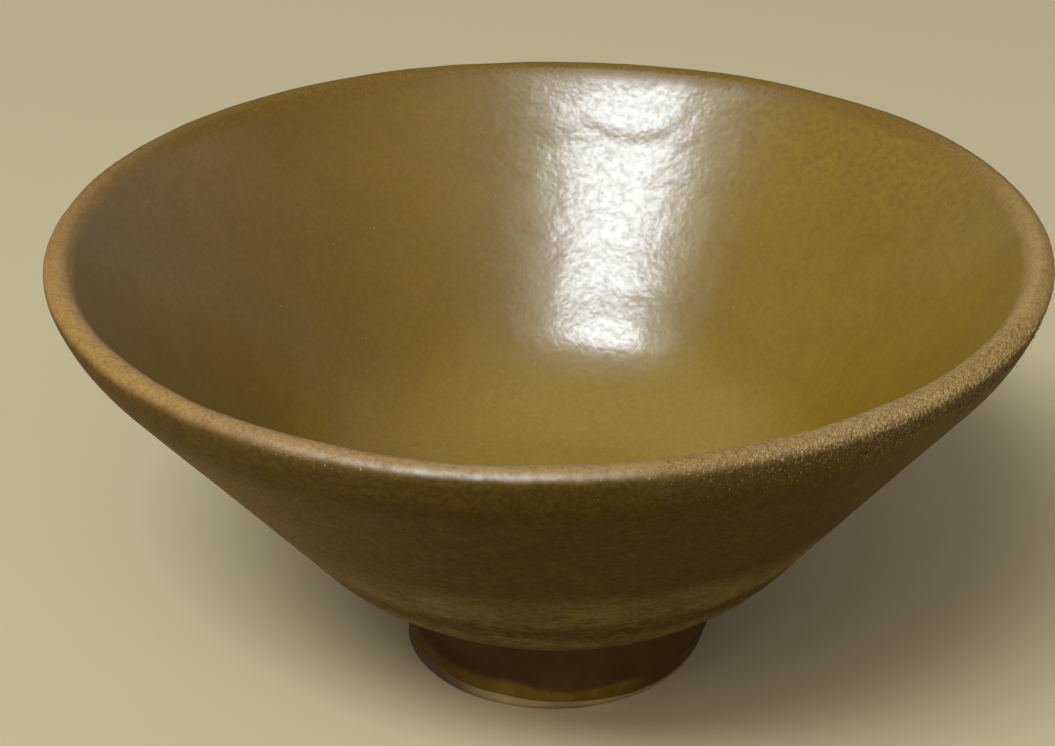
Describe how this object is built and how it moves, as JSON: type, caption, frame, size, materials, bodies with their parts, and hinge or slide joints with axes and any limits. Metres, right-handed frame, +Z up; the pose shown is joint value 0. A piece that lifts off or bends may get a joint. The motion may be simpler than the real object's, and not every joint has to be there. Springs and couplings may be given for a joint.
{
  "type": "tea bowl",
  "caption": "Wide conical glazed stoneware tea bowl on a small ring foot, with a thick rounded lip.",
  "frame": {"origin": "on the surface that the bowl stands on, below the middle of its rim", "axes": "+Z up through the bowl's mouth; +X to the right of the view in the picture, the side to which the foot leans"},
  "size_m": [0.146, 0.146, 0.0692],
  "materials": {
    "stoneware": "fired bare stoneware, rough",
    "ochre_glaze": "olive ochre ash glaze, glossy with a fine dimpled surface",
    "brown_glaze": "dark brown ash glaze, satin, with turning marks",
    "foot_clay": "fired bare clay, rough",
    "foot_glaze": "thin dark glaze with an olive pool at its lower edge",
    "slip": "fired slip, matt"
  },
  "bodies": {
    "root": {"thrown_body": "stoneware", "inside_glaze": "ochre_glaze", "outside_glaze": "brown_glaze", "foot_ring": "foot_clay", "foot_glaze": "foot_glaze", "luting_slip": "slip"}
  },
  "joints": []
}
